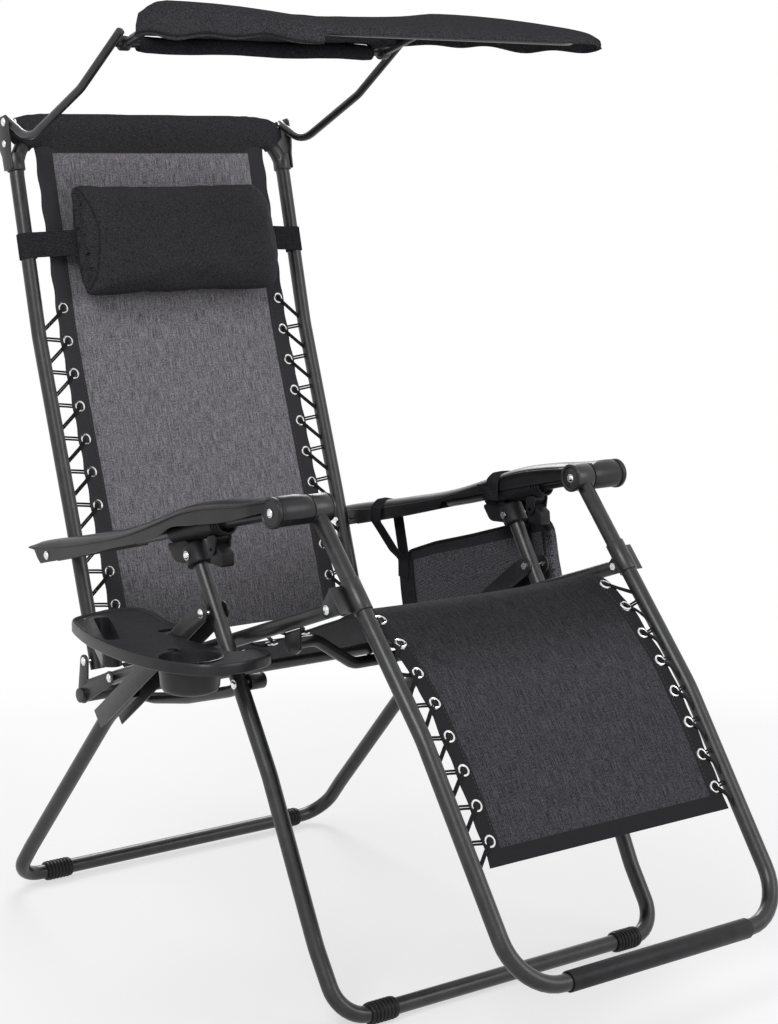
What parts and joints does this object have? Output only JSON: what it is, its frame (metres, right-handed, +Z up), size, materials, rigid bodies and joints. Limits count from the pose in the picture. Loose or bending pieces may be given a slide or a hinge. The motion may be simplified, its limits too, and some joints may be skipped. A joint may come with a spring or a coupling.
{
  "type": "sun lounger with canopy",
  "caption": "Folding recliner with laced mesh slings, armrests, head pillow, tilting sun canopy, clip-on cup tray and hanging side bag.",
  "frame": {"origin": "on the floor at the middle of the whole part's outer box, tray and bag included", "axes": "+Z up, +Y to the rear of the chair, +X to the sitter's left"},
  "size_m": [0.779, 1.1514, 1.311],
  "materials": {
    "coated_steel": "satin charcoal powder coat",
    "black_plastic": "fine-grained moulded plastic",
    "woven_mesh": "open woven coated mesh",
    "black_cloth": "plain woven cloth",
    "bright_steel": "zinc-plated",
    "bungee_cord": "braided elastic cord"
  },
  "bodies": {
    "base": {"front_leg_frame": "coated_steel", "front_foot_right": "black_plastic", "front_foot_left": "black_plastic", "seat_arm_right": "coated_steel", "seat_arm_left": "coated_steel", "seat_arm_bolt_right": "bright_steel", "seat_arm_bolt_left": "bright_steel", "leg_pivot_bolt_right": "bright_steel", "leg_pivot_bolt_left": "bright_steel", "clamp_bolt_right": "bright_steel", "clamp_bolt_left": "bright_steel"},
    "tray": {"cup_tray": "black_plastic"},
    "rear_legs": {"rear_leg_frame": "coated_steel", "rear_foot_right": "black_plastic", "rear_foot_left": "black_plastic", "rear_leg_channel_right": "coated_steel", "rear_leg_channel_left": "coated_steel"},
    "seat": {"seat_rail_right": "coated_steel", "seat_rail_left": "coated_steel", "seat_rear_tube": "coated_steel", "seat_front_bar": "coated_steel", "seat_sling": "woven_mesh", "seat_lace_right": "bungee_cord", "seat_lace_left": "bungee_cord", "seat_pivot_bolt_right": "bright_steel", "seat_pivot_bolt_left": "bright_steel"},
    "back": {"back_frame": "coated_steel", "back_sling": "woven_mesh", "back_lace_right": "bungee_cord", "back_lace_left": "bungee_cord", "canopy_bracket_right": "coated_steel", "canopy_bracket_left": "coated_steel", "back_pivot_bolt_right": "bright_steel", "back_pivot_bolt_left": "bright_steel", "armrest_bolt_right": "bright_steel", "armrest_bolt_left": "bright_steel", "canopy_bolt_right": "bright_steel", "canopy_bolt_left": "bright_steel"},
    "legrest": {"leg_frame": "coated_steel", "foot_sleeve": "black_plastic", "leg_sling": "woven_mesh", "leg_lace_right": "bungee_cord", "leg_lace_left": "bungee_cord", "knee_bolt_right": "bright_steel", "knee_bolt_left": "bright_steel"},
    "armrest_right": {"armrest_right": "black_plastic", "armrest_tube_right": "coated_steel"},
    "armrest_left": {"armrest_left": "black_plastic", "armrest_tube_left": "coated_steel", "side_bag": "black_cloth"},
    "clamp_right": {"arm_clamp_right": "black_plastic"},
    "clamp_left": {"arm_clamp_left": "black_plastic"},
    "lever_right": {"lock_lever_right": "black_plastic"},
    "lever_left": {"lock_lever_left": "black_plastic"},
    "canopy_arms": {"canopy_arm_right": "coated_steel", "canopy_arm_left": "coated_steel", "canopy_bar": "coated_steel"},
    "canopy": {"canopy_frame": "coated_steel", "canopy_cover": "black_cloth"},
    "pillow": {"pillow": "black_cloth"}
  },
  "joints": [
    {"name": "back_recline", "type": "hinge", "parent": "seat", "child": "back", "pos_m": [0.0385, 0.34638, 0.376], "axis": [-1, 0, 0], "range_deg": [0, 30]},
    {"name": "seat_swing", "type": "hinge", "parent": "base", "child": "seat", "pos_m": [0.0385, 0.27838, 0.363], "axis": [-1, 0, 0], "range_deg": [0, 8.54]},
    {"name": "legrest_swing", "type": "hinge", "parent": "seat", "child": "legrest", "pos_m": [0.0385, -0.22962, 0.5384], "axis": [-1, 0, 0], "range_deg": [0, 40.8]},
    {"name": "armrest_swing_right", "type": "hinge", "parent": "back", "child": "armrest_right", "pos_m": [-0.247, 0.39238, 0.53], "axis": [-1, 0, 0], "range_deg": [-32.79, 0]},
    {"name": "armrest_swing_left", "type": "hinge", "parent": "back", "child": "armrest_left", "pos_m": [0.324, 0.39238, 0.53], "axis": [-1, 0, 0], "range_deg": [-32.79, 0]},
    {"name": "clamp_tilt_right", "type": "hinge", "parent": "base", "child": "clamp_right", "pos_m": [-0.247, 0.02838, 0.578], "axis": [-1, 0, 0], "range_deg": [0, 5.77]},
    {"name": "clamp_tilt_left", "type": "hinge", "parent": "base", "child": "clamp_left", "pos_m": [0.324, 0.02838, 0.578], "axis": [-1, 0, 0], "range_deg": [0, 5.77]},
    {"name": "lever_turn_right", "type": "hinge", "parent": "clamp_right", "child": "lever_right", "pos_m": [-0.247, -0.02162, 0.592], "axis": [1, 0, 0], "range_deg": [0, 50]},
    {"name": "lever_turn_left", "type": "hinge", "parent": "clamp_left", "child": "lever_left", "pos_m": [0.324, -0.02162, 0.592], "axis": [1, 0, 0], "range_deg": [0, 50]},
    {"name": "rear_leg_fold", "type": "hinge", "parent": "base", "child": "rear_legs", "pos_m": [0.0385, -0.01162, 0.506], "axis": [-1, 0, 0], "range_deg": [0, 70]},
    {"name": "canopy_arm_tilt", "type": "hinge", "parent": "back", "child": "canopy_arms", "pos_m": [0.0385, 0.55438, 1.155], "axis": [-1, 0, 0], "range_deg": [-30, 100]},
    {"name": "canopy_tilt", "type": "hinge", "parent": "canopy_arms", "child": "canopy", "pos_m": [0.0385, 0.27138, 1.261], "axis": [-1, 0, 0], "range_deg": [-25, 25]},
    {"name": "pillow_slide", "type": "slide", "parent": "back", "child": "pillow", "axis": [0, 0.2231, 0.9748], "range_m": [-0.045, 0.045]},
    {"name": "tray_lift", "type": "slide", "parent": "base", "child": "tray", "axis": [0, 0, 1], "range_m": [0, 0.045]}
  ],
  "couplings": [
    {"joint": "seat_swing", "follows": "back_recline", "ratio": 0.2845},
    {"joint": "legrest_swing", "follows": "back_recline", "ratio": 1.3597},
    {"joint": "armrest_swing_right", "follows": "back_recline", "ratio": -1.0926},
    {"joint": "armrest_swing_left", "follows": "back_recline", "ratio": -1.0926},
    {"joint": "clamp_tilt_right", "follows": "back_recline", "ratio": 0.1919},
    {"joint": "clamp_tilt_left", "follows": "back_recline", "ratio": 0.1919}
  ]
}
